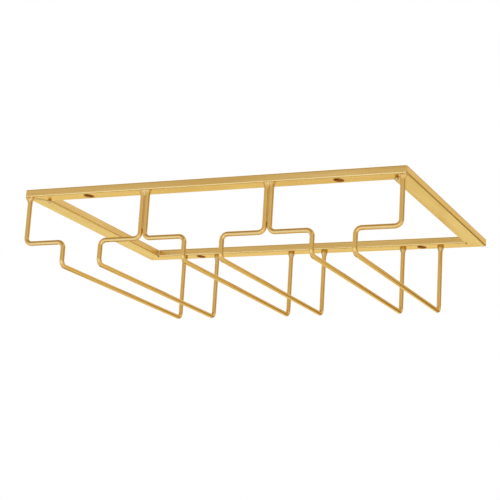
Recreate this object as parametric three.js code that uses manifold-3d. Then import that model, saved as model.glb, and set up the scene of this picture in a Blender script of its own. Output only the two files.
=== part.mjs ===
import * as THREE from 'three';
import { mergeVertices } from 'three/addons/utils/BufferGeometryUtils.js';
import Module from 'manifold-3d';

// Hanging rack for stemmed glasses. A mitred frame of flat rectangular tube is screwed up under a
// shelf. Six bent wires, welded below it, make three channels that are open at the front: the foot
// of a glass goes in over the raised rungs and settles on the two rails, with its stem between.
// Millimetres. The origin is the middle of the frame's upper plane: +X right, +Y back, +Z up.

// Frame of flat rectangular tube
const frameWidth = 340;
const frameDepth = 236;
const tubeWidth = 16;
const tubeHeight = 6.5;
const tubeWall = 1.2;
const tubeEdgeRadius = 1;
const frameCornerRadius = 2;
const mitreSeam = 0.3;

// Screw holes: an oval mouth in the lower wall lets the screw's head in, up to the upper wall
const screwMouthWidth = 8;
const screwMouthMargin = 2.75;
const screwShankDiameter = 5;

// Bent wires. Drops are measured between a wire's axis and the tube's underside, margins from a
// wire's surface to the frame's outer face, and the rail gap between the axes of an inner channel
const channelCount = 3;
const wireDiameter = 4;
const bendInsideRadius = 3;
const railGap = 33.4;
const rungDrop = 40.5;
const lipHeight = 20;
const frontMargin = 1;
const sideMargin = 2;
const wireGap = 0.3;

// Weld metal round the wire ends, as a collar with a running gap to the wire
const weldGap = 0.3;
const weldReach = 1;
const weldHeight = 4.5;
const outerWeldRun = 1;
const weldTipShare = 0.35;

// Weld metal in the frame's inner corners: a fillet, and a drop that hangs at the seam's end
const cornerWeldLeg = 3.5;
const cornerWeldBulge = 0.6;
const cornerDropRadius = 2.3;
const cornerDropHeight = 1.4;
const cornerDropSetback = 0.8;

// Plated finish
const goldColor = 0xd9b36e;
const tubeRoughness = 0.36;
const wireRoughness = 0.3;
const weldRoughness = 0.42;

// Facets
const edgeSteps = 2;
const holeSteps = 10;
const wireSides = 20;
const bendSteps = 6;
const bendLimitShare = 0.45;
const weldSides = 20;
const weldSteps = 6;

// How far a cutting solid runs past a face
const cutOverrun = 1;

// Sizes that follow from the ones above
const halfWidth = frameWidth / 2;
const halfDepth = frameDepth / 2;
const tubeMiddle = -tubeHeight / 2;
const wireRadius = wireDiameter / 2;
const pairSpacing = wireDiameter + wireGap;
const outerWireX = halfWidth - sideMargin - wireRadius;
const frontWireY = -halfDepth + frontMargin + wireRadius;
const rearWireY = halfDepth - tubeWidth / 2;
const channelPitch = 2 * outerWireX / channelCount;
const rungLength = (channelPitch - pairSpacing - railGap) / 2;
const rungLevel = -tubeHeight - rungDrop;
const railLevel = rungLevel - lipHeight;

const wasm = await Module();
wasm.setup();

// A closed geometry as a solid that can be cut and joined
function toSolid(geometry) {
  const bare = geometry.clone();
  bare.deleteAttribute('normal');
  bare.deleteAttribute('uv');
  const merged = mergeVertices(bare);
  return new wasm.Manifold(new wasm.Mesh({
    numProp: 3,
    vertProperties: new Float32Array(merged.attributes.position.array),
    triVerts: new Uint32Array(merged.index.array),
  }));
}

function toGeometry(solid) {
  const mesh = solid.getMesh();
  const geometry = new THREE.BufferGeometry();
  geometry.setAttribute('position', new THREE.BufferAttribute(mesh.vertProperties, 3));
  geometry.setIndex(new THREE.BufferAttribute(mesh.triVerts, 1));
  geometry.computeVertexNormals();
  return geometry;
}

// An outline in plan, raised from one level to another
function prism(outline, bottom, top, steps) {
  const geometry = new THREE.ExtrudeGeometry(outline, {
    depth: top - bottom,
    curveSegments: steps,
    bevelEnabled: false,
  });
  geometry.translate(0, 0, bottom);
  return toSolid(geometry);
}

function roundedRectangle(left, bottom, right, top, radius) {
  const outline = new THREE.Shape();
  outline.absarc(right - radius, bottom + radius, radius, -Math.PI / 2, 0);
  outline.absarc(right - radius, top - radius, radius, 0, Math.PI / 2);
  outline.absarc(left + radius, top - radius, radius, Math.PI / 2, Math.PI);
  outline.absarc(left + radius, bottom + radius, radius, Math.PI, 3 * Math.PI / 2);
  return outline;
}

function ellipse(x, y, width, length) {
  return new THREE.Shape().absellipse(x, y, width / 2, length / 2, 0, 2 * Math.PI, false, 0);
}

// Tube section seen along the bar: x runs in from the frame's outer face, y is the height
function tubeSection() {
  const section = roundedRectangle(0, -tubeHeight, tubeWidth, 0, tubeEdgeRadius);
  const hollow = new THREE.Path();
  hollow.moveTo(tubeWall, -tubeWall);
  hollow.lineTo(tubeWidth - tubeWall, -tubeWall);
  hollow.lineTo(tubeWidth - tubeWall, -tubeHeight + tubeWall);
  hollow.lineTo(tubeWall, -tubeHeight + tubeWall);
  hollow.closePath();
  section.holes.push(hollow);
  return section;
}

// A bar in its own frame: length along X and centred, outer face at y = 0, frame inside at +Y.
// Both ends are cut at 45 degrees, so each end ring is sheared by its distance from that face
function mitredBar(length) {
  const geometry = new THREE.ExtrudeGeometry(tubeSection(), {
    depth: length,
    curveSegments: edgeSteps,
    bevelEnabled: false,
  });
  const seamSetback = mitreSeam / Math.SQRT2;
  const position = geometry.attributes.position;
  for (let i = 0; i < position.count; i++) {
    const cut = position.getX(i) + seamSetback;
    const atStart = position.getZ(i) < length / 2;
    position.setZ(i, atStart ? cut : length - cut);
  }
  const inward = new THREE.Vector3(0, 1, 0);
  const upward = new THREE.Vector3(0, 0, 1);
  const along = new THREE.Vector3(1, 0, 0);
  geometry.applyMatrix4(new THREE.Matrix4().makeBasis(inward, upward, along));
  geometry.translate(-length / 2, 0, 0);
  return roundCorners(toSolid(geometry), length);
}

// The frame's upright corner edges are ground round after welding
function roundCorners(bar, length) {
  const farSide = tubeWidth + cutOverrun + frameCornerRadius;
  const plan = roundedRectangle(-length / 2, 0, length / 2, farSide, frameCornerRadius);
  return bar.intersect(prism(plan, -tubeHeight - cutOverrun, cutOverrun, edgeSteps));
}

function drillForScrew(bar, x) {
  const y = tubeWidth / 2;
  const mouth = ellipse(x, y, screwMouthWidth, tubeWidth - 2 * screwMouthMargin);
  const shank = ellipse(x, y, screwShankDiameter, screwShankDiameter);
  return bar
    .subtract(prism(mouth, -tubeHeight - cutOverrun, tubeMiddle, holeSteps))
    .subtract(prism(shank, tubeMiddle, cutOverrun, holeSteps));
}

// Where the two wires of a channel hang from the front bar
function channelUprights(channel) {
  const start = -outerWireX + channel * channelPitch;
  const isFirst = channel === 0;
  const isLast = channel === channelCount - 1;
  return {
    left: isFirst ? start : start + pairSpacing / 2,
    right: isLast ? start + channelPitch : start + channelPitch - pairSpacing / 2,
  };
}

function channelCentre(channel) {
  const { left, right } = channelUprights(channel);
  return (left + right) / 2;
}

function crossBar() {
  const bar = mitredBar(frameWidth);
  const leftHole = drillForScrew(bar, channelCentre(0));
  return toGeometry(drillForScrew(leftHole, channelCentre(channelCount - 1)));
}

function sideBar() {
  return toGeometry(mitredBar(frameDepth));
}

// A line of straight runs joined by right-angled bends, stepped only where it bends
class BentLine extends THREE.Curve {
  constructor(corners, radius) {
    super();
    this.stations = [];
    const last = corners.length - 1;
    this.addStation(corners[0], this.direction(corners[0], corners[1]));
    for (let i = 1; i < last; i++) {
      this.addBend(corners[i - 1], corners[i], corners[i + 1], radius);
    }
    this.addStation(corners[last], this.direction(corners[last - 1], corners[last]));
  }

  direction(from, to) {
    return to.clone().sub(from).normalize();
  }

  addStation(point, tangent) {
    this.stations.push({ point: point.clone(), tangent });
  }

  addBend(before, corner, after, radius) {
    const shortestRun = Math.min(before.distanceTo(corner), corner.distanceTo(after));
    const bend = Math.min(radius, shortestRun * bendLimitShare);
    const into = this.direction(before, corner);
    const out = this.direction(corner, after);
    const centre = corner.clone().addScaledVector(into, -bend).addScaledVector(out, bend);
    for (let step = 0; step <= bendSteps; step++) {
      const angle = Math.PI / 2 * step / bendSteps;
      const point = centre.clone();
      point.addScaledVector(into, bend * Math.sin(angle));
      point.addScaledVector(out, -bend * Math.cos(angle));
      const tangent = into.clone().multiplyScalar(Math.cos(angle));
      tangent.addScaledVector(out, Math.sin(angle));
      this.addStation(point, tangent);
    }
  }

  stationAt(share) {
    return this.stations[Math.round(share * (this.stations.length - 1))];
  }

  getPointAt(share, target = new THREE.Vector3()) {
    return target.copy(this.stationAt(share).point);
  }

  getTangentAt(share, target = new THREE.Vector3()) {
    return target.copy(this.stationAt(share).tangent);
  }
}

// One length of wire: down from the front bar, sideways as the raised rung, down again, back as the
// rail and up to the rear bar. Side is 1 for a rung that runs right and -1 for one that runs left
function bentWire(side) {
  const railX = side * rungLength;
  const line = new BentLine([
    new THREE.Vector3(0, frontWireY, -tubeHeight),
    new THREE.Vector3(0, frontWireY, rungLevel),
    new THREE.Vector3(railX, frontWireY, rungLevel),
    new THREE.Vector3(railX, frontWireY, railLevel),
    new THREE.Vector3(railX, rearWireY, railLevel),
    new THREE.Vector3(railX, rearWireY, -tubeHeight),
  ], bendInsideRadius + wireRadius);
  return new THREE.ExtrudeGeometry(ellipse(0, 0, wireDiameter, wireDiameter), {
    extrudePath: line,
    steps: line.stations.length - 1,
    curveSegments: wireSides / 2,
  });
}

// A turned weld drawn out sideways: each profile point has its own run to the left and right
function weldMound(profile, runs) {
  const halfSide = Math.PI / weldSides;
  const geometry = new THREE.LatheGeometry(profile, weldSides, halfSide);
  const position = geometry.attributes.position;
  for (let i = 0; i < position.count; i++) {
    const x = position.getX(i);
    position.setX(i, x + Math.sign(x) * runs[i % runs.length]);
  }
  geometry.rotateX(Math.PI / 2);
  return toSolid(geometry);
}

// A weld collar under a bar, from its tip on the wire up to its foot on the tube's underside.
// A drawn collar flares in a hollow curve towards the foot and a full one is rounded like a bead
function weldCollar({ isFull, tipRun, footRun, wirePlaces }) {
  const boreRadius = wireRadius + weldGap;
  const footRadius = wireRadius + weldReach;
  const tipRadius = boreRadius + weldTipShare * (weldReach - weldGap);
  const tipLevel = -tubeHeight - weldHeight;
  const profile = [new THREE.Vector2(0, tipLevel)];
  const runs = [tipRun];
  for (let step = 0; step <= weldSteps; step++) {
    const angle = Math.PI / 2 * step / weldSteps;
    const rise = isFull ? 1 - Math.cos(angle) : Math.sin(angle);
    const flare = isFull ? Math.sin(angle) : 1 - Math.cos(angle);
    const radius = tipRadius + flare * (footRadius - tipRadius);
    profile.push(new THREE.Vector2(radius, tipLevel + rise * weldHeight));
    runs.push(tipRun + flare * (footRun - tipRun));
  }
  profile.push(new THREE.Vector2(0, -tubeHeight));
  runs.push(footRun);
  let collar = weldMound(profile, runs);
  for (const x of wirePlaces) {
    const bore = ellipse(x, 0, 2 * boreRadius, 2 * boreRadius);
    collar = collar.subtract(prism(bore, tipLevel - cutOverrun, -tubeHeight + cutOverrun, holeSteps));
  }
  return toGeometry(collar);
}

function outerFrontWeld() {
  return weldCollar({ isFull: false, tipRun: 0, footRun: outerWeldRun, wirePlaces: [0] });
}

function pairFrontWeld() {
  const run = pairSpacing / 2;
  return weldCollar({ isFull: false, tipRun: run, footRun: run, wirePlaces: [-run, run] });
}

function rearWeld() {
  return weldCollar({ isFull: true, tipRun: 0, footRun: 0, wirePlaces: [0] });
}

// Corner weld in its own frame: the frame's inner corner at the origin, the open side at +X +Y
function cornerWeld() {
  const fillet = new THREE.Shape();
  fillet.moveTo(weldGap, weldGap);
  fillet.lineTo(cornerWeldLeg, weldGap);
  fillet.absarc(cornerWeldLeg, cornerWeldLeg, cornerWeldLeg - weldGap, -Math.PI / 2, Math.PI, true);
  const drop = new THREE.LatheGeometry(dropProfile(), weldSides);
  drop.rotateX(Math.PI / 2);
  drop.translate(-cornerDropSetback, -cornerDropSetback, 0);
  const filletFoot = -tubeHeight - cornerWeldBulge;
  return toGeometry(prism(fillet, filletFoot, -tubeEdgeRadius, edgeSteps).add(toSolid(drop)));
}

function dropProfile() {
  const profile = [new THREE.Vector2(0, -tubeHeight - cornerDropHeight)];
  for (let step = 1; step <= weldSteps; step++) {
    const angle = Math.PI / 2 * step / weldSteps;
    const depth = cornerDropHeight * Math.cos(angle);
    profile.push(new THREE.Vector2(cornerDropRadius * Math.sin(angle), -tubeHeight - depth));
  }
  profile.push(new THREE.Vector2(0, -tubeHeight));
  return profile;
}

function piece(name, geometry, roughness) {
  const material = new THREE.MeshStandardMaterial({ color: goldColor, roughness, metalness: 1 });
  const mesh = new THREE.Mesh(geometry, material);
  mesh.name = name;
  return mesh;
}

// Frame: the four bars, each turned so that its outer face looks out
const rack = new THREE.Group();
const barPlaces = [
  { name: 'front_bar', shape: crossBar, x: 0, y: -halfDepth, turn: 0 },
  { name: 'right_bar', shape: sideBar, x: halfWidth, y: 0, turn: Math.PI / 2 },
  { name: 'rear_bar', shape: crossBar, x: 0, y: halfDepth, turn: Math.PI },
  { name: 'left_bar', shape: sideBar, x: -halfWidth, y: 0, turn: -Math.PI / 2 },
];
for (const { name, shape, x, y, turn } of barPlaces) {
  const bar = piece(name, shape(), tubeRoughness);
  bar.position.set(x, y, 0);
  bar.rotation.z = turn;
  rack.add(bar);
}

// Corner welds
const cornerX = halfWidth - tubeWidth;
const cornerY = halfDepth - tubeWidth;
const cornerPlaces = [
  { name: 'corner_weld_front_left', x: -cornerX, y: -cornerY, turn: 0 },
  { name: 'corner_weld_front_right', x: cornerX, y: -cornerY, turn: Math.PI / 2 },
  { name: 'corner_weld_rear_right', x: cornerX, y: cornerY, turn: Math.PI },
  { name: 'corner_weld_rear_left', x: -cornerX, y: cornerY, turn: -Math.PI / 2 },
];
for (const { name, x, y, turn } of cornerPlaces) {
  const weld = piece(name, cornerWeld(), weldRoughness);
  weld.position.set(x, y, 0);
  weld.rotation.z = turn;
  rack.add(weld);
}

// Channels: two wires that mirror each other, and the welds that hold them to the rear bar
for (let channel = 0; channel < channelCount; channel++) {
  const { left, right } = channelUprights(channel);
  const number = channel + 1;
  const sides = [
    { name: 'left', side: 1, x: left },
    { name: 'right', side: -1, x: right },
  ];
  for (const { name, side, x } of sides) {
    const wireGroup = new THREE.Group();
    wireGroup.position.x = x;
    wireGroup.add(piece(`channel_${number}_wire_${name}`, bentWire(side), wireRoughness));
    const weld = piece(`channel_${number}_rear_weld_${name}`, rearWeld(), weldRoughness);
    weld.position.set(side * rungLength, rearWireY, 0);
    wireGroup.add(weld);
    rack.add(wireGroup);
  }
}

// Welds under the front bar: one round each outer wire and one round each pair between channels
for (let place = 0; place <= channelCount; place++) {
  const isOuter = place === 0 || place === channelCount;
  const shape = isOuter ? outerFrontWeld() : pairFrontWeld();
  const weld = piece(`front_weld_${place + 1}`, shape, weldRoughness);
  weld.position.set(-outerWireX + place * channelPitch, frontWireY, 0);
  rack.add(weld);
}

export default rack;
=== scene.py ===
import math

import bmesh
import bpy
from mathutils import Matrix, Vector


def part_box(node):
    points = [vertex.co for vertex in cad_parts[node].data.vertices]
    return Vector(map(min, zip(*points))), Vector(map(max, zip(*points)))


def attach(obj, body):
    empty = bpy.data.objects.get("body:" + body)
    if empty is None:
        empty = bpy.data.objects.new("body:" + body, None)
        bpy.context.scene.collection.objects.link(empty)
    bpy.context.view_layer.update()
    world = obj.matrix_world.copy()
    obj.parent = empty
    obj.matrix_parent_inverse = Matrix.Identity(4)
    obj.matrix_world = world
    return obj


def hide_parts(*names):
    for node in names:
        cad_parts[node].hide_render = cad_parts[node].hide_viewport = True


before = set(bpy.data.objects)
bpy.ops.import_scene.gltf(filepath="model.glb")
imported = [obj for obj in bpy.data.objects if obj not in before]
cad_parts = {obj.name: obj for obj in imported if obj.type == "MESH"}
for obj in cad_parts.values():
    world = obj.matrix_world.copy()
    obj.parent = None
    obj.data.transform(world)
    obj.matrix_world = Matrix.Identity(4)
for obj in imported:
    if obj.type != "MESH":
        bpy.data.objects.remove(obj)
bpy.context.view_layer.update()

# The camera looks up at the rack from below its front right corner, as a fitted rack is seen.
# The lens is long, so the frame's sides run almost parallel.
camera_place = (0.5050, -1.1383, -0.3285)
yaw, pitch, roll = math.radians(24.35), math.radians(13.40), math.radians(3.487)
camera_data = bpy.data.cameras.new("camera")
camera_data.sensor_width = 36.0
camera_data.lens = 105.55
camera_data.clip_end = 60.0
camera = bpy.data.objects.new("camera", camera_data)
bpy.context.scene.collection.objects.link(camera)
forward = Vector((-math.sin(yaw) * math.cos(pitch), math.cos(yaw) * math.cos(pitch), math.sin(pitch)))
level = Vector((math.cos(yaw), math.sin(yaw), 0.0))
above = level.cross(forward)
camera_right = math.cos(roll) * level + math.sin(roll) * above
camera_up = math.cos(roll) * above - math.sin(roll) * level
turned = Matrix((camera_right, camera_up, -forward)).transposed().to_4x4()
camera.matrix_world = Matrix.Translation(camera_place) @ turned
bpy.context.scene.camera = camera

# The studio: a pale round floor well below the rack, which fades into a white backdrop all round.
# One soft overhead light; glowing cards, seen only in reflections, shape what the metal mirrors.
floor_level = -2.2
floor_radius = 12.0
fade_start = 3.2
fade_end = 7.6


def new_object(mesh, name):
    """Turns a finished bmesh into an object in the scene."""
    data = bpy.data.meshes.new(name)
    mesh.to_mesh(data)
    mesh.free()
    made = bpy.data.objects.new(name, data)
    bpy.context.scene.collection.objects.link(made)
    return made


def new_material(name):
    """A material with its nodes switched on, and its shader."""
    material = bpy.data.materials.new(name)
    material.use_nodes = True
    return material, material.node_tree.nodes["Principled BSDF"]


floor_mesh = bmesh.new()
bmesh.ops.create_circle(floor_mesh, cap_ends=True, segments=64, radius=floor_radius)
bmesh.ops.translate(floor_mesh, verts=floor_mesh.verts, vec=(0.0, 0.0, floor_level))
studio_floor = new_object(floor_mesh, "studio_floor")

floor_paint, shader = new_material("pale_floor")
nodes, links = floor_paint.node_tree.nodes, floor_paint.node_tree.links
shader.inputs["Roughness"].default_value = 0.8
shader.inputs["Specular IOR Level"].default_value = 0.2
coordinate = nodes.new("ShaderNodeTexCoord")
mottle = nodes.new("ShaderNodeTexNoise")
mottle.inputs["Scale"].default_value = 0.75
ramp = nodes.new("ShaderNodeValToRGB")
ramp.color_ramp.elements[0].color = (0.82, 0.81, 0.80, 1.0)
ramp.color_ramp.elements[1].color = (0.85, 0.84, 0.83, 1.0)
distance = nodes.new("ShaderNodeVectorMath")
distance.operation = "LENGTH"
fade = nodes.new("ShaderNodeMapRange")
fade.interpolation_type = "SMOOTHSTEP"
fade.inputs["From Min"].default_value = fade_start
fade.inputs["From Max"].default_value = fade_end
fade.inputs["To Min"].default_value = 1.0
fade.inputs["To Max"].default_value = 0.0
links.new(coordinate.outputs["Object"], mottle.inputs["Vector"])
links.new(mottle.outputs["Fac"], ramp.inputs["Fac"])
links.new(ramp.outputs["Color"], shader.inputs["Base Color"])
links.new(coordinate.outputs["Object"], distance.inputs[0])
links.new(distance.outputs["Value"], fade.inputs["Value"])
links.new(fade.outputs["Result"], shader.inputs["Alpha"])
studio_floor.data.materials.append(floor_paint)

white = (1.0, 1.0, 1.0, 1.0)
world = bpy.data.worlds.new("studio_light")
bpy.context.scene.world = world
world.use_nodes = True
nodes, links = world.node_tree.nodes, world.node_tree.links
nodes.clear()
out = nodes.new("ShaderNodeOutputWorld")
mix = nodes.new("ShaderNodeMixShader")
backdrop = nodes.new("ShaderNodeBackground")
backdrop.inputs["Strength"].default_value = 1.0
backdrop.inputs["Color"].default_value = white
soft_light = nodes.new("ShaderNodeBackground")
soft_light.inputs["Strength"].default_value = 0.5
soft_light.inputs["Color"].default_value = white
path = nodes.new("ShaderNodeLightPath")
seen_or_mirrored = nodes.new("ShaderNodeMath")
seen_or_mirrored.operation = "MAXIMUM"
through_glass_too = nodes.new("ShaderNodeMath")
through_glass_too.operation = "MAXIMUM"
links.new(path.outputs["Is Camera Ray"], seen_or_mirrored.inputs[0])
links.new(path.outputs["Is Glossy Ray"], seen_or_mirrored.inputs[1])
links.new(seen_or_mirrored.outputs["Value"], through_glass_too.inputs[0])
links.new(path.outputs["Is Transmission Ray"], through_glass_too.inputs[1])
links.new(through_glass_too.outputs["Value"], mix.inputs["Fac"])
links.new(soft_light.outputs["Background"], mix.inputs[1])
links.new(backdrop.outputs["Background"], mix.inputs[2])
links.new(mix.outputs["Shader"], out.inputs["Surface"])

lamp_data = bpy.data.lights.new("soft_overhead", "SUN")
lamp_data.angle = math.radians(50.0)
lamp_data.energy = 2.1
lamp = bpy.data.objects.new("soft_overhead", lamp_data)
bpy.context.scene.collection.objects.link(lamp)
lamp.visible_glossy = False
lamp_aim = Vector((0.25, 0.35, -1.0))
lamp.matrix_world = lamp_aim.to_track_quat("-Z", "Y").to_matrix().to_4x4()

rack_middle = Vector((0.0, 0.0, -0.03))
for name, place, size, glow in (
    ("card_behind_right", (0.50, 1.60, -0.27), (0.60, 0.70), (0.43, 0.32, 0.225)),
    ("card_behind_high", (0.98, 2.30, 0.62), (1.60, 0.90), (0.84, 0.72, 0.66)),
    ("card_behind_low", (-0.33, 0.45, -0.72), (1.00, 0.26), (0.03, 0.02, 0.02)),
    ("card_low_front", (-0.55, -1.10, -0.60), (1.40, 1.10), (1.10, 1.35, 2.20)),
    ("card_low_right", (0.60, -1.30, -0.72), (0.80, 0.50), (1.70, 1.75, 1.90)),
    ("card_front", (-0.4, -2.5, 0.60), (4.0, 1.1), (0.78, 0.78, 0.78)),
    ("card_high_front", (-0.4, -1.55, 2.0), (4.0, 2.2), (0.42, 0.37, 0.33)),
    ("card_right", (2.4, 0.0, 0.4), (3.6, 1.6), (0.58, 0.53, 0.47)),
    ("card_left", (-2.4, -0.6, 0.5), (3.0, 1.6), (0.85, 0.83, 0.80)),
):
    card_mesh = bmesh.new()
    bmesh.ops.create_grid(card_mesh, x_segments=1, y_segments=1, size=0.5)
    bmesh.ops.scale(card_mesh, verts=card_mesh.verts, vec=(*size, 1.0))
    card_aim = rack_middle - Vector(place)
    facing = Matrix.Translation(place) @ card_aim.to_track_quat("Z", "Y").to_matrix().to_4x4()
    bmesh.ops.transform(card_mesh, verts=card_mesh.verts, matrix=facing)
    card = new_object(card_mesh, name)
    card.visible_camera = card.visible_diffuse = card.visible_shadow = False
    card_paint, card_shader = new_material(name)
    card_shader.inputs["Base Color"].default_value = (0.0, 0.0, 0.0, 1.0)
    card_shader.inputs["Specular IOR Level"].default_value = 0.0
    card_shader.inputs["Emission Color"].default_value = (*glow, 1.0)
    card_shader.inputs["Emission Strength"].default_value = 1.0
    card.data.materials.append(card_paint)

bpy.context.scene.view_settings.view_transform = "Standard"

# Four bars of flat rectangular steel tube, sawn at 45 degrees, welded into one frame, ground and
# brushed along their length, then plated gold. The front and rear bars are drilled for the screws:
# two oval mouths in the lower wall and two round holes in the upper one.
half_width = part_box("right_bar")[1][0]
half_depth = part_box("rear_bar")[1][1]
tube_width = half_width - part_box("right_bar")[0][0]
tube_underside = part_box("right_bar")[0][2]
tube_height = -tube_underside
tube_middle = tube_underside / 2
tube_wall = 0.0012
edge_round = 0.001
corner_round = 0.002
seam_width = 0.00002
seam_chamfer = 0.0002
screw_x = 0.11175
mouth_radii = (0.004, 0.00525)
screw_radii = (0.0025, 0.0025)
rim_round = 0.0004
hair = 0.000001
soft_angle = math.radians(35.0)
flat_cosine = 0.9999
level_cosine = 0.001


def new_group(name, inputs, outputs):
    """A node group with named sockets, and the nodes that bring them in and take them out."""
    group = bpy.data.node_groups.new(name, "ShaderNodeTree")
    for direction, sockets in (("INPUT", inputs), ("OUTPUT", outputs)):
        for socket, kind in sockets.items():
            group.interface.new_socket(socket, in_out=direction, socket_type=f"NodeSocket{kind}")
    return group, group.nodes.new("NodeGroupInput"), group.nodes.new("NodeGroupOutput")


def make_tone_group():
    """Plating tone: a slow drift between a paler and a deeper colour."""
    inputs = {"Vector": "Vector", "Pale": "Color", "Deep": "Color", "Patch Scale": "Float"}
    group, given, result = new_group("plating_tone", inputs, {"Color": "Color"})
    nodes, links = group.nodes, group.links
    patches = nodes.new("ShaderNodeTexNoise")
    patches.inputs["Detail"].default_value = 3.0
    blend = nodes.new("ShaderNodeMix")
    blend.data_type = "RGBA"
    links.new(given.outputs["Vector"], patches.inputs["Vector"])
    links.new(given.outputs["Patch Scale"], patches.inputs["Scale"])
    links.new(patches.outputs["Fac"], blend.inputs["Factor"])
    links.new(given.outputs["Pale"], blend.inputs["A"])
    links.new(given.outputs["Deep"], blend.inputs["B"])
    links.new(blend.outputs["Result"], result.inputs["Color"])
    return group


def make_brush_group():
    """Brush marks: fine scratches drawn out along the vector's X."""
    inputs = {"Vector": "Vector", "Lines": "Float", "Squeeze": "Float"}
    group, given, result = new_group("brush_marks", inputs, {"Height": "Float"})
    nodes, links = group.nodes, group.links
    squeeze = nodes.new("ShaderNodeCombineXYZ")
    squeeze.inputs["Y"].default_value = 1.0
    squeeze.inputs["Z"].default_value = 1.0
    drawn_out = nodes.new("ShaderNodeVectorMath")
    drawn_out.operation = "MULTIPLY"
    scratches = nodes.new("ShaderNodeTexNoise")
    scratches.inputs["Detail"].default_value = 2.0
    links.new(given.outputs["Squeeze"], squeeze.inputs["X"])
    links.new(given.outputs["Vector"], drawn_out.inputs[0])
    links.new(squeeze.outputs["Vector"], drawn_out.inputs[1])
    links.new(drawn_out.outputs["Vector"], scratches.inputs["Vector"])
    links.new(given.outputs["Lines"], scratches.inputs["Scale"])
    links.new(scratches.outputs["Fac"], result.inputs["Height"])
    return group


def make_grain_group():
    """Surface grain: one noise that gives both a roughness between two ends and a height."""
    numbers = ("Scale", "Detail", "Glossiest", "Dullest")
    inputs = {"Vector": "Vector", **{socket: "Float" for socket in numbers}}
    outputs = {"Roughness": "Float", "Height": "Float"}
    group, given, result = new_group("surface_grain", inputs, outputs)
    nodes, links = group.nodes, group.links
    grains = nodes.new("ShaderNodeTexNoise")
    gloss = nodes.new("ShaderNodeMapRange")
    links.new(given.outputs["Vector"], grains.inputs["Vector"])
    links.new(given.outputs["Scale"], grains.inputs["Scale"])
    links.new(given.outputs["Detail"], grains.inputs["Detail"])
    links.new(grains.outputs["Fac"], gloss.inputs["Value"])
    links.new(given.outputs["Glossiest"], gloss.inputs["To Min"])
    links.new(given.outputs["Dullest"], gloss.inputs["To Max"])
    links.new(gloss.outputs["Result"], result.inputs["Roughness"])
    links.new(grains.outputs["Fac"], result.inputs["Height"])
    return group


tone_group = make_tone_group()
brush_group = make_brush_group()
grain_group = make_grain_group()


def add_tone(nodes, links, vector, patch_scale, pale, deep):
    tone = nodes.new("ShaderNodeGroup")
    tone.node_tree = tone_group
    tone.inputs["Pale"].default_value = (*pale, 1.0)
    tone.inputs["Deep"].default_value = (*deep, 1.0)
    tone.inputs["Patch Scale"].default_value = patch_scale
    links.new(vector, tone.inputs["Vector"])
    return tone.outputs["Color"]


def add_brush(nodes, links, vector, lines, squeeze):
    brush = nodes.new("ShaderNodeGroup")
    brush.node_tree = brush_group
    brush.inputs["Lines"].default_value = lines
    brush.inputs["Squeeze"].default_value = squeeze
    links.new(vector, brush.inputs["Vector"])
    return brush.outputs["Height"]


def add_grain(nodes, links, vector, scale, detail, gloss_range):
    grain = nodes.new("ShaderNodeGroup")
    grain.node_tree = grain_group
    grain.inputs["Scale"].default_value = scale
    grain.inputs["Detail"].default_value = detail
    grain.inputs["Glossiest"].default_value = gloss_range[0]
    grain.inputs["Dullest"].default_value = gloss_range[1]
    links.new(vector, grain.inputs["Vector"])
    return grain


def make_brushed_gold(name, turn, gloss_range, relief, pale, deep):
    """Gold plating over a brushed face; turn lays the marks along the bar."""
    material, shader = new_material(name)
    nodes, links = material.node_tree.nodes, material.node_tree.links
    shader.inputs["Metallic"].default_value = 1.0
    shader.inputs["Specular Tint"].default_value = (1.0, 0.91, 0.56, 1.0)
    coordinate = nodes.new("ShaderNodeTexCoord")
    along_bar = nodes.new("ShaderNodeMapping")
    along_bar.inputs["Rotation"].default_value = (0.0, 0.0, turn)
    links.new(coordinate.outputs["Object"], along_bar.inputs["Vector"])
    drawn_out = nodes.new("ShaderNodeVectorMath")
    drawn_out.operation = "MULTIPLY"
    drawn_out.inputs[1].default_value = (0.05, 1.0, 1.0)
    links.new(along_bar.outputs["Vector"], drawn_out.inputs[0])
    patch_place = drawn_out.outputs["Vector"]
    tone = add_tone(nodes, links, patch_place, patch_scale=260.0, pale=pale, deep=deep)
    streaks = add_brush(nodes, links, along_bar.outputs["Vector"], lines=700.0, squeeze=0.03)
    streak_share = nodes.new("ShaderNodeMapRange")
    streak_share.inputs["From Min"].default_value = 0.35
    streak_share.inputs["From Max"].default_value = 0.75
    streak_share.inputs["To Max"].default_value = 0.18
    links.new(streaks, streak_share.inputs["Value"])
    streaked = nodes.new("ShaderNodeMix")
    streaked.data_type = "RGBA"
    streaked.inputs["B"].default_value = (0.60, 0.35, 0.085, 1.0)
    links.new(streak_share.outputs["Result"], streaked.inputs["Factor"])
    links.new(tone, streaked.inputs["A"])
    links.new(streaked.outputs["Result"], shader.inputs["Base Color"])
    marks = add_brush(nodes, links, along_bar.outputs["Vector"], lines=1400.0, squeeze=0.02)
    gloss = nodes.new("ShaderNodeMapRange")
    gloss.inputs["To Min"].default_value = gloss_range[0]
    gloss.inputs["To Max"].default_value = gloss_range[1]
    links.new(marks, gloss.inputs["Value"])
    links.new(gloss.outputs["Result"], shader.inputs["Roughness"])
    bump = nodes.new("ShaderNodeBump")
    bump.inputs["Strength"].default_value = relief
    bump.inputs["Distance"].default_value = 0.0001
    links.new(marks, bump.inputs["Height"])
    links.new(bump.outputs["Normal"], shader.inputs["Normal"])
    return material


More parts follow.
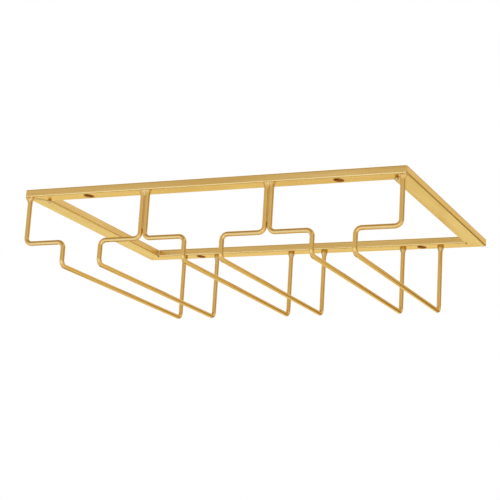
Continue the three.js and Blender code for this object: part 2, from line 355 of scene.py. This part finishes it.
def make_painted_cavity_light(name, pale, deep):
    """A plain diffuse colour that stands in for light in the tube's hollow: painted reflection inside the
    tube and painted shade on the hole walls.
    """
    material, shader = new_material(name)
    nodes, links = material.node_tree.nodes, material.node_tree.links
    shader.inputs["Specular IOR Level"].default_value = 0.3
    place = nodes.new("ShaderNodeTexCoord").outputs["Object"]
    tone = add_tone(nodes, links, place, patch_scale=400.0, pale=pale, deep=deep)
    links.new(tone, shader.inputs["Base Color"])
    grain = add_grain(nodes, links, place, scale=900.0, detail=2.0, gloss_range=(0.5, 0.8))
    links.new(grain.outputs["Roughness"], shader.inputs["Roughness"])
    return material


def new_verts(made):
    return [item for item in made["geom"] if isinstance(item, bmesh.types.BMVert)]


def open_edges(mesh):
    return [edge for edge in mesh.edges if edge.is_boundary]


def make_frame_ring():
    """The whole frame as one ring: a plate inset to a ring, drawn down, with its edges rounded."""
    ring = bmesh.new()
    bmesh.ops.create_grid(ring, x_segments=1, y_segments=1, size=1.0)
    bmesh.ops.scale(ring, verts=ring.verts, vec=(half_width, half_depth, 1.0))
    inset = bmesh.ops.inset_region(
        ring, faces=ring.faces[:], thickness=tube_width, use_even_offset=True, use_boundary=True
    )
    middle = [face for face in ring.faces if face not in inset["faces"]]
    bmesh.ops.delete(ring, geom=middle, context="FACES_ONLY")
    lower = bmesh.ops.extrude_face_region(ring, geom=ring.faces[:])
    bmesh.ops.translate(ring, verts=new_verts(lower), vec=(0.0, 0.0, tube_underside))
    bmesh.ops.recalc_face_normals(ring, faces=ring.faces[:])
    corners = [
        edge for edge in ring.edges
        if edge.verts[0].co.xy == edge.verts[1].co.xy
        and abs(edge.verts[0].co.x) > half_width - edge_round
    ]
    bmesh.ops.bevel(
        ring, geom=corners, affect="EDGES", offset=corner_round, segments=8, profile=0.5, material=-1
    )
    rims = [
        edge for edge in ring.edges
        if edge.verts[0].co.z == edge.verts[1].co.z and edge.calc_face_angle() > soft_angle
    ]
    bmesh.ops.bevel(
        ring, geom=rims, affect="EDGES", offset=edge_round, segments=6, profile=0.5, material=-1
    )
    return ring


def saw_bar(ring, along_x, side):
    """One bar of the ring, sawn off at both mitres; a fine groove stays along each seam below."""
    bar = ring.copy()
    for end in (-1, 1):
        if along_x:
            corner = Vector((end * half_width, side * half_depth, 0.0))
            waste = Vector((end, -side, 0.0)).normalized()
        else:
            corner = Vector((side * half_width, end * half_depth, 0.0))
            waste = Vector((-side, end, 0.0)).normalized()
        bmesh.ops.bisect_plane(
            bar, geom=bar.verts[:] + bar.edges[:] + bar.faces[:],
            plane_co=corner - waste * seam_width / 2, plane_no=waste, clear_outer=True,
        )
    cuts = bmesh.ops.holes_fill(bar, edges=open_edges(bar))
    lower_cuts = {
        edge for face in cuts["faces"] for edge in face.edges
        if all(vert.co.z < tube_underside + hair for vert in edge.verts)
    }
    bmesh.ops.bevel(
        bar, geom=list(lower_cuts), affect="EDGES", offset=seam_chamfer, segments=2, profile=0.5,
        material=-1,
    )
    bmesh.ops.recalc_face_normals(bar, faces=bar.faces[:])
    return bar


def apply_modifiers(piece):
    """Replaces the piece's mesh by what its modifiers make of it."""
    graph = bpy.context.evaluated_depsgraph_get()
    shaped = bpy.data.meshes.new_from_object(piece.evaluated_get(graph))
    piece.modifiers.clear()
    piece.data = shaped


def carve(piece, cutter_mesh):
    """Takes the cutter's solid away from the piece."""
    cutter = new_object(cutter_mesh, "cutter")
    carving = piece.modifiers.new("carve", "BOOLEAN")
    carving.operation = "DIFFERENCE"
    carving.solver = "EXACT"
    carving.object = cutter
    apply_modifiers(piece)
    bpy.data.objects.remove(cutter)


def add_plug(mesh, foot, radii, height):
    """An upright oval cutter that stands on its foot."""
    made = bmesh.ops.create_circle(mesh, cap_ends=True, segments=48, radius=1.0)
    bmesh.ops.scale(mesh, verts=made["verts"], vec=(*radii, 1.0))
    bmesh.ops.translate(mesh, verts=made["verts"], vec=foot)
    cap = list({face for vert in made["verts"] for face in vert.link_faces})
    raised = bmesh.ops.extrude_face_region(mesh, geom=cap)
    bmesh.ops.translate(mesh, verts=new_verts(raised), vec=(0.0, 0.0, height))


def drill_bar(bar, middle_y):
    """Hollows the tube, then cuts two oval mouths through its lower wall and two screw holes above."""
    hollow = bmesh.new()
    made = bmesh.ops.create_cube(hollow, size=1.0)
    inside = (2 * (half_width - tube_width), tube_width - 2 * tube_wall, tube_height - 2 * tube_wall)
    bmesh.ops.scale(hollow, verts=made["verts"], vec=inside)
    bmesh.ops.translate(hollow, verts=made["verts"], vec=(0.0, middle_y, tube_middle))
    carve(bar, hollow)
    mouths, screws = bmesh.new(), bmesh.new()
    for x in (-screw_x, screw_x):
        add_plug(mouths, (x, middle_y, tube_underside + tube_middle), mouth_radii, tube_height)
        add_plug(screws, (x, middle_y, tube_middle), screw_radii, tube_height)
    for cutter in (mouths, screws):
        bmesh.ops.recalc_face_normals(cutter, faces=cutter.faces[:])
        carve(bar, cutter)


def is_at_mouth(place, middle_y, margin):
    """Whether a place, seen from below, lies in the box round a mouth, widened by a margin."""
    past_x = abs(abs(place.x) - screw_x) - mouth_radii[0]
    past_y = abs(place.y - middle_y) - mouth_radii[1]
    return max(past_x, past_y) < margin


def finish_bar(bar, is_drilled, middle_y, finishes):
    """Rounds the mouths' rims and gives each face its finish: flat, edge, tube inside or hole wall. The
    edge finish is painted shade on the side bars and a painted highlight on the front and rear bars, the
    tube's inside is painted reflection, and the hole walls and rims are painted shade.
    """
    mesh = bmesh.new()
    mesh.from_mesh(bar.data)
    rims = [
        edge for edge in mesh.edges
        if all(abs(vert.co.z - tube_underside) < hair for vert in edge.verts)
        and all(is_at_mouth(vert.co, middle_y, hair) for vert in edge.verts)
        and len(edge.link_faces) == 2 and edge.calc_face_angle() > soft_angle
    ]
    bmesh.ops.bevel(
        mesh, geom=rims, affect="EDGES", offset=rim_round, segments=3, profile=0.5, material=-1
    )
    bmesh.ops.dissolve_degenerate(mesh, dist=hair, edges=mesh.edges)
    bmesh.ops.holes_fill(mesh, edges=open_edges(mesh))
    flat_finish, painted_edge_finish, inside_reflection_finish, hole_shade_finish = range(4)
    rim_end = tube_underside + rim_round * 1.5
    lower_wall_top = tube_underside + tube_wall - hair
    upper_wall_bottom = -tube_wall + hair
    for face in mesh.faces:
        is_flat = max(abs(part) for part in face.normal) > flat_cosine
        face.smooth = not is_flat
        centre = face.calc_center_median()
        is_deep = rim_end < centre.z < -rim_round
        is_within = is_drilled and abs(centre.y - middle_y) < tube_width / 2 - tube_wall + hair
        # Painted reflection inside the tube, painted shade on the hole walls and rims.
        if is_deep and is_within:
            in_a_wall = centre.z < lower_wall_top or centre.z > upper_wall_bottom
            face.material_index = hole_shade_finish if in_a_wall else inside_reflection_finish
        elif not is_flat and abs(face.normal.z) > level_cosine:
            is_below = centre.z < -tube_wall
            is_rim = is_drilled and is_below and is_at_mouth(centre, middle_y, rim_round)
            face.material_index = hole_shade_finish if is_rim else painted_edge_finish
        else:
            face.material_index = flat_finish
    for edge in mesh.edges:
        edge.smooth = len(edge.link_faces) == 2 and edge.calc_face_angle() < soft_angle
    bar.data.materials.clear()
    for finish in finishes:
        bar.data.materials.append(finish)
    mesh.to_mesh(bar.data)
    mesh.free()


brushed_across = make_brushed_gold(
    "gold_brushed_across", turn=0.0, gloss_range=(0.20, 0.30), relief=0.02,
    pale=(0.91, 0.63, 0.235), deep=(0.62, 0.36, 0.085),
)
# The left and right bars' faces get a paler copy of the gold than the front and rear bars'. This is
# painted light that brightens them.
brushed_back_painted_light = make_brushed_gold(
    "gold_brushed_back_painted_light", turn=math.pi / 2, gloss_range=(0.30, 0.40), relief=0.02,
    pale=(0.98, 0.75, 0.325), deep=(0.69, 0.46, 0.155),
)
# The front and rear bars' rounded edges are burnished, so they are glossier than the faces. Their gold is
# also a little paler, as a painted highlight along the edges.
burnished_highlight_across = make_brushed_gold(
    "gold_burnished_highlight_across", turn=0.0, gloss_range=(0.07, 0.12), relief=0.004,
    pale=(0.83, 0.57, 0.200), deep=(0.79, 0.52, 0.170),
)
# Painted shade: the rounded edges of the left and right bars get a darker gold, which paints a dark line
# along them. The right bar's copy is darker still.
shaded_edge_left = make_brushed_gold(
    "gold_shaded_edge_left", turn=math.pi / 2, gloss_range=(0.20, 0.30), relief=0.004,
    pale=(0.66, 0.43, 0.140), deep=(0.60, 0.37, 0.110),
)
shaded_edge_right = make_brushed_gold(
    "gold_shaded_edge_right", turn=math.pi / 2, gloss_range=(0.20, 0.30), relief=0.004,
    pale=(0.44, 0.27, 0.070), deep=(0.38, 0.22, 0.050),
)
# Painted reflection: a bright orange inside the tube stands in for the gold's reflections back and forth
# in there.
inside_reflection = make_painted_cavity_light(
    "painted_reflection_in_tube", pale=(1.0, 0.58, 0.14), deep=(0.95, 0.50, 0.11)
)
# Painted shade: a dark red-brown on the hole walls and round the mouths' rims.
hole_shade = make_painted_cavity_light(
    "painted_shade_in_hole", pale=(0.56, 0.235, 0.030), deep=(0.48, 0.190, 0.020)
)
frame_ring = make_frame_ring()
for name, along_x, side, finishes in (
    ("front", True, -1, (brushed_across, burnished_highlight_across, inside_reflection, hole_shade)),
    ("rear", True, 1, (brushed_across, burnished_highlight_across, inside_reflection, hole_shade)),
    ("left", False, -1, (brushed_back_painted_light, shaded_edge_left)),
    ("right", False, 1, (brushed_back_painted_light, shaded_edge_right)),
):
    bar = new_object(saw_bar(frame_ring, along_x, side), f"{name}_tube")
    middle_y = side * (half_depth - tube_width / 2) if along_x else 0.0
    if along_x:
        drill_bar(bar, middle_y)
    finish_bar(bar, along_x, middle_y, finishes)
    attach(bar, "root")
    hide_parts(f"{name}_bar")
frame_ring.free()

# Six wires, each bent from one length: down, sideways as the rung, down, back as the rail and up.
# They are drawn smooth, so the plating on them is glossier than on the brushed tube.
wire_radius = 0.002
bend_radius = 0.005
bend_steps = 12
wire_sides = 32
lip_height = 0.020
same_place = 0.0000001
wire_low, wire_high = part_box("channel_1_wire_left")
front_y = wire_low[1] + wire_radius
rear_y = wire_high[1] - wire_radius
rail_level = wire_low[2] + wire_radius
rung_level = rail_level + lip_height


def make_smooth_gold(name, ripple_scale, ripple, gloss_range, pale, deep):
    """Gold plating over drawn wire or weld metal, with a ripple in its gloss and its relief."""
    material, shader = new_material(name)
    nodes, links = material.node_tree.nodes, material.node_tree.links
    shader.inputs["Metallic"].default_value = 1.0
    shader.inputs["Specular Tint"].default_value = (0.92, 0.81, 0.48, 1.0)
    place = nodes.new("ShaderNodeTexCoord").outputs["Object"]
    tone = add_tone(nodes, links, place, patch_scale=ripple_scale / 2, pale=pale, deep=deep)
    links.new(tone, shader.inputs["Base Color"])
    grain = add_grain(nodes, links, place, ripple_scale, detail=3.0, gloss_range=gloss_range)
    links.new(grain.outputs["Roughness"], shader.inputs["Roughness"])
    bump = nodes.new("ShaderNodeBump")
    bump.inputs["Strength"].default_value = ripple
    bump.inputs["Distance"].default_value = 0.0002
    links.new(grain.outputs["Height"], bump.inputs["Height"])
    links.new(bump.outputs["Normal"], shader.inputs["Normal"])
    return material


def new_faces(made, key="geom"):
    return [item for item in made[key] if isinstance(item, bmesh.types.BMFace)]


def bend_wire(name, upright_x, rail_x):
    """Draws a round end out along the wire's runs and spins it round each bend."""
    mesh = bmesh.new()
    made = bmesh.ops.create_circle(mesh, cap_ends=True, segments=wire_sides, radius=wire_radius)
    bmesh.ops.translate(mesh, verts=made["verts"], vec=(upright_x, front_y, tube_underside))
    end = mesh.faces[:]
    corners = [
        Vector((upright_x, front_y, tube_underside)),
        Vector((upright_x, front_y, rung_level)),
        Vector((rail_x, front_y, rung_level)),
        Vector((rail_x, front_y, rail_level)),
        Vector((rail_x, rear_y, rail_level)),
        Vector((rail_x, rear_y, tube_underside)),
    ]
    at = corners[0]
    for before, corner, after in zip(corners, corners[1:], corners[2:]):
        into = (corner - before).normalized()
        onward = (after - corner).normalized()
        start = corner - into * bend_radius
        pulled = bmesh.ops.extrude_face_region(mesh, geom=end)
        bmesh.ops.translate(mesh, verts=new_verts(pulled), vec=start - at)
        spun = bmesh.ops.spin(
            mesh, geom=new_faces(pulled), cent=start + onward * bend_radius,
            axis=into.cross(onward), angle=math.pi / 2, steps=bend_steps, use_merge=False,
            use_duplicate=False,
        )
        end = new_faces(spun, "geom_last")
        at = corner + onward * bend_radius
    pulled = bmesh.ops.extrude_face_region(mesh, geom=end)
    bmesh.ops.translate(mesh, verts=new_verts(pulled), vec=corners[-1] - at)
    bmesh.ops.remove_doubles(mesh, verts=mesh.verts, dist=same_place)
    inside_walls = [face for face in mesh.faces if all(len(edge.link_faces) > 2 for edge in face.edges)]
    bmesh.ops.delete(mesh, geom=inside_walls, context="FACES_ONLY")
    bmesh.ops.recalc_face_normals(mesh, faces=mesh.faces[:])
    for face in mesh.faces:
        is_side = len(face.verts) == 4
        face.smooth = is_side
        if not is_side:
            for edge in face.edges:
                edge.smooth = False
    return new_object(mesh, name)


wire_gold = make_smooth_gold(
    "gold_drawn_wire", ripple_scale=150.0, ripple=0.02, gloss_range=(0.11, 0.20),
    pale=(0.77, 0.50, 0.160), deep=(0.71, 0.445, 0.130),
)
for channel in (1, 2, 3):
    for side_name in ("left", "right"):
        node = f"channel_{channel}_wire_{side_name}"
        ends_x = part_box(node)[0][0] + wire_radius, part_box(node)[1][0] - wire_radius
        upright_x, rail_x = ends_x if side_name == "left" else reversed(ends_x)
        wire = bend_wire(f"bent_wire_{channel}_{side_name}", upright_x, rail_x)
        wire.data.materials.append(wire_gold)
        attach(wire, "root")
        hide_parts(node)

# Six rear beads of filler metal, one round the end of each wire under the rear bar. A torch melted
# them on and left them lumpy and rounded, and the gold plating follows their uneven skin.
skin_voxel = 0.00022
bead_root = 0.0008
bead_steps = 36
bead_passes = 5


def middle_x(node):
    low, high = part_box(node)
    return (low[0] + high[0]) / 2


def turn_bead(mesh, x, y, stretch, profile):
    """Turns (radius, depth below the tube) pairs round a wire's axis and stretches the bead."""
    made = bmesh.new()
    rim = [made.verts.new((radius, 0.0, tube_underside - below)) for radius, below in profile]
    line = [made.edges.new(pair) for pair in zip(rim, rim[1:])]
    bmesh.ops.spin(
        made, geom=rim + line, cent=(0.0, 0.0, 0.0), axis=(0.0, 0.0, 1.0), angle=2 * math.pi,
        steps=bead_steps, use_merge=True,
    )
    bmesh.ops.holes_fill(made, edges=open_edges(made))
    bmesh.ops.scale(made, verts=made.verts, vec=(*stretch, 1.0))
    bmesh.ops.translate(made, verts=made.verts, vec=(x, y, 0.0))
    bmesh.ops.recalc_face_normals(made, faces=made.faces[:])
    turned_data = bpy.data.meshes.new("turned_bead")
    made.to_mesh(turned_data)
    made.free()
    mesh.from_mesh(turned_data)
    bpy.data.meshes.remove(turned_data)


def add_lump(mesh, place, radii):
    """A ball of filler metal with its own radius along each axis."""
    made = bmesh.ops.create_icosphere(mesh, subdivisions=3, radius=1.0)
    bmesh.ops.scale(mesh, verts=made["verts"], vec=radii)
    bmesh.ops.translate(mesh, verts=made["verts"], vec=place)


def fuse_weld(mesh, name, node, passes, finish):
    """Melts the overlapping beads into one skin and sets it in place of the node that stands for the weld,
    which it hides.
    """
    weld = new_object(mesh, name)
    skin = weld.modifiers.new("skin", "REMESH")
    skin.mode = "VOXEL"
    skin.voxel_size = skin_voxel
    melt = weld.modifiers.new("melt", "SMOOTH")
    melt.factor = 0.5
    melt.iterations = passes
    apply_modifiers(weld)
    weld.data.shade_smooth()
    weld.data.materials.clear()
    weld.data.materials.append(finish)
    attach(weld, "root")
    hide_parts(node)


rough_weld_gold = make_smooth_gold(
    "gold_over_rough_weld", ripple_scale=700.0, ripple=0.90, gloss_range=(0.06, 0.14),
    pale=(0.66, 0.43, 0.135), deep=(0.45, 0.28, 0.080),
)
rear_profile = (
    (0.00295, -bead_root), (0.00310, 0.0005), (0.00312, 0.0015), (0.00285, 0.0026),
    (0.00245, 0.0037), (0.00212, 0.0048), (0.00190, 0.0058),
)
rear_stretch = (0.97, 0.97)
rear_lumps = (
    ((-0.0010, -0.0013, 0.0014), (0.0014, 0.0014, 0.0012)),
    ((0.0013, -0.0004, 0.0009), (0.0012, 0.0013, 0.0008)),
)
for channel in (1, 2, 3):
    for side_name in ("left", "right"):
        node = f"channel_{channel}_rear_weld_{side_name}"
        wire_x = middle_x(node)
        bead = bmesh.new()
        turn_bead(bead, wire_x, rear_y, rear_stretch, rear_profile)
        for (across, back, below), radii in rear_lumps:
            add_lump(bead, (wire_x + across, rear_y + back, tube_underside - below), radii)
        fuse_weld(bead, f"rear_bead_{channel}_{side_name}", node, bead_passes, rough_weld_gold)

# Two front end beads of filler metal, which join the outermost wires to the front bar. Each one is
# a collar melted round the wire with a run of lumps on both sides, plated with the rest.
weld_gold = make_smooth_gold(
    "gold_over_weld", ripple_scale=900.0, ripple=0.30, gloss_range=(0.10, 0.20),
    pale=(0.74, 0.47, 0.140), deep=(0.60, 0.36, 0.100),
)
end_profile = (
    (0.00390, -bead_root), (0.00390, 0.0001), (0.00325, 0.0008), (0.00268, 0.0017),
    (0.00232, 0.0027), (0.00208, 0.0038), (0.00190, 0.0049),
)
end_stretch = (1.0, 0.74)
collar_radius = 0.0029
collar_profile = [(min(radius, collar_radius), below) for radius, below in end_profile]
run_of_lumps = (
    (0.0028, 0.0014, 0.0003, 0.0011), (0.0025, 0.0012, 0.0014, 0.0009), (0.0021, 0.0010, 0.0025, 0.0007),
    (0.0018, 0.0009, 0.0036, 0.0005), (-0.0027, 0.0012, 0.0004, 0.0010), (-0.0021, 0.0011, 0.0016, 0.0007),
)
lump_height_share = 1.2
for number, outward in ((1, -1), (4, 1)):
    node = f"front_weld_{number}"
    wire_x = middle_x(node)
    bead = bmesh.new()
    turn_bead(bead, wire_x, front_y, end_stretch, end_profile)
    turn_bead(bead, wire_x, front_y, (1.0, 1.0), collar_profile)
    for across, forward, below, radius in run_of_lumps:
        place = (wire_x + outward * across, front_y - forward, tube_underside - below)
        add_lump(bead, place, (radius, radius, radius * lump_height_share))
    fuse_weld(bead, f"front_end_bead_{number}", node, bead_passes, weld_gold)

# Two front pair beads of filler metal, each of which joins two neighbouring wires to the front bar
# and to each other: a collar melted round each wire, a cone of metal between them, and a thin seam
# that runs down between them almost to their bends.
pair_profile = (
    (0.00292, -bead_root), (0.00292, 0.0003), (0.00255, 0.0014), (0.00226, 0.0028),
    (0.00206, 0.0040), (0.00190, 0.0050),
)
pair_half_spacing = 0.00215
cone_tip_radius = 0.0006
cone_top_radius = 0.0040
cone_stretch = (1.0, 0.70, 1.0)
cone_sink = 0.0005
cone_forward = 0.0001
seam_radius = 0.0011
seam_length = 0.0325
seam_forward = 0.0002
for number, cone_drop in ((2, 0.0072), (3, 0.0056)):
    node = f"front_weld_{number}"
    pair_x = middle_x(node)
    bead = bmesh.new()
    for side in (-1, 1):
        turn_bead(bead, pair_x + side * pair_half_spacing, front_y, (1.0, 1.0), pair_profile)
    made = bmesh.ops.create_cone(
        bead, cap_ends=True, segments=32, radius1=cone_tip_radius, radius2=cone_top_radius, depth=cone_drop
    )
    cone_place = (pair_x, front_y - cone_forward, tube_underside + cone_sink - cone_drop / 2)
    bmesh.ops.scale(bead, verts=made["verts"], vec=cone_stretch)
    bmesh.ops.translate(bead, verts=made["verts"], vec=cone_place)
    made = bmesh.ops.create_cone(
        bead, cap_ends=True, segments=16, radius1=seam_radius, radius2=seam_radius, depth=seam_length
    )
    seam_place = (pair_x, front_y - seam_forward, tube_underside - seam_length / 2)
    bmesh.ops.translate(bead, verts=made["verts"], vec=seam_place)
    fuse_weld(bead, f"front_pair_bead_{number}", node, bead_passes, weld_gold)

# Four corner beads of filler metal: a fillet up the inner corner of each mitre and a small ball of
# spatter on the underside. At the front a thin run also follows the mitre on the underside.
# The pale end of this gold is an almost white colour, a painted highlight on the corner balls and fillets.
spatter_highlight_gold = make_smooth_gold(
    "gold_over_spatter_highlight", ripple_scale=900.0, ripple=0.40, gloss_range=(0.04, 0.08),
    pale=(0.80, 0.64, 0.38), deep=(0.48, 0.33, 0.13),
)
balls = (
    ("front_right", 1, -1, 0.0110, 0.0095, 0.0018), ("front_left", -1, -1, 0.0165, 0.0135, 0.0016),
    ("rear_right", 1, 1, 0.0147, 0.0146, 0.0009), ("rear_left", -1, 1, 0.0155, 0.0154, 0.0008),
)
ball_drop_share = 0.75
fillet_radius = 0.0014
fillet_depth = tube_height - 0.0016
fillet_inset = 0.0001
run_radius = 0.0008
run_length = 0.0195
run_sink = run_radius / 3
corner_passes = 3
for corner, side_x, side_y, inset_x, inset_y, radius in balls:
    bead = bmesh.new()
    made = bmesh.ops.create_cone(
        bead, cap_ends=True, segments=24, radius1=fillet_radius, radius2=fillet_radius, depth=fillet_depth
    )
    inner_x = side_x * (half_width - tube_width - fillet_inset)
    inner_y = side_y * (half_depth - tube_width - fillet_inset)
    bmesh.ops.translate(bead, verts=made["verts"], vec=(inner_x, inner_y, tube_middle))
    if corner.startswith("front"):
        laid_down = Matrix.Rotation(math.pi / 2, 4, "Y")
        along_mitre = Matrix.Rotation(math.atan2(side_y, side_x), 4, "Z")
        run_middle = (
            side_x * (half_width - tube_width / 2), side_y * (half_depth - tube_width / 2),
            tube_underside + run_sink,
        )
        bmesh.ops.create_cone(
            bead, cap_ends=True, segments=16, radius1=run_radius, radius2=run_radius, depth=run_length,
            matrix=Matrix.Translation(run_middle) @ along_mitre @ laid_down,
        )
    ball_x, ball_y = side_x * (half_width - inset_x), side_y * (half_depth - inset_y)
    add_lump(bead, (ball_x, ball_y, tube_underside - radius * ball_drop_share), (radius,) * 3)
    fuse_weld(bead, f"corner_bead_{corner}", f"corner_weld_{corner}", corner_passes, spatter_highlight_gold)
